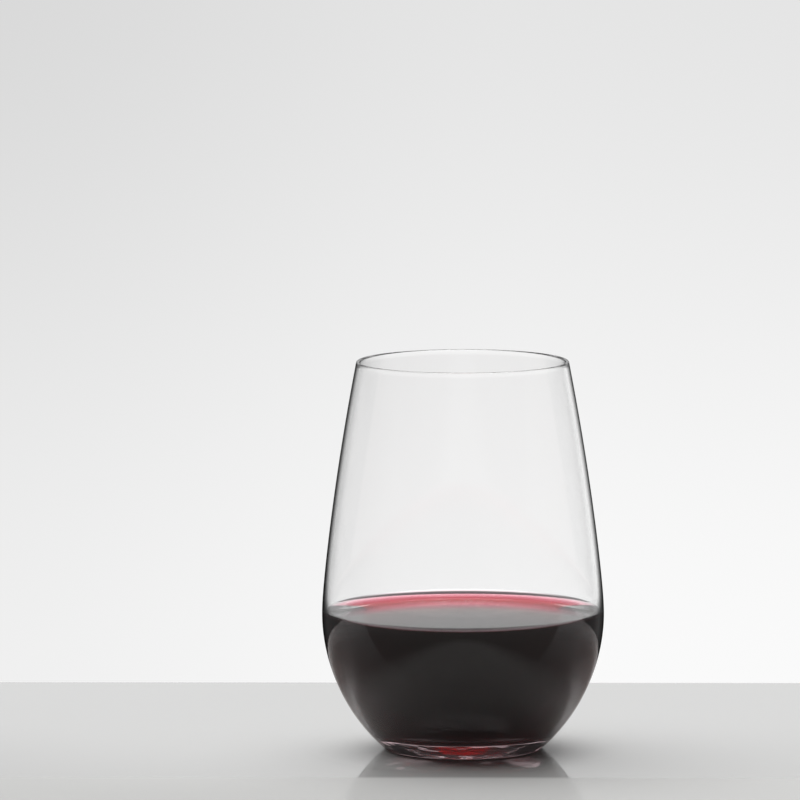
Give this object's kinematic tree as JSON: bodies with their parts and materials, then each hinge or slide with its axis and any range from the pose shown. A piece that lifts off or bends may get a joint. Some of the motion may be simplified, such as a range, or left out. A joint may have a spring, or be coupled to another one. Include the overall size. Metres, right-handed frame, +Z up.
{
  "type": "stemless wine glass",
  "caption": "Egg-shaped stemless wine glass of clear thin crystal on a flat foot ring, holding a pour of red wine that turns freely inside the bowl.",
  "frame": {"origin": "centre of the foot, on the surface that the glass stands on", "axes": "+Z up along the axis of the bowl; X and Y lie in the resting surface, and the bowl looks the same from every side"},
  "size_m": [0.0788, 0.0788, 0.109],
  "materials": {
    "clear_crystal": "polished",
    "red_wine": "polished"
  },
  "bodies": {
    "glass": {"glass_bowl": "clear_crystal"},
    "wine": {"red_wine": "red_wine"}
  },
  "joints": [
    {"name": "wine_swirl", "type": "hinge", "parent": "glass", "child": "wine", "pos_m": [0, 0, 0.0364], "axis": [0, 0, 1], "continuous": true}
  ]
}
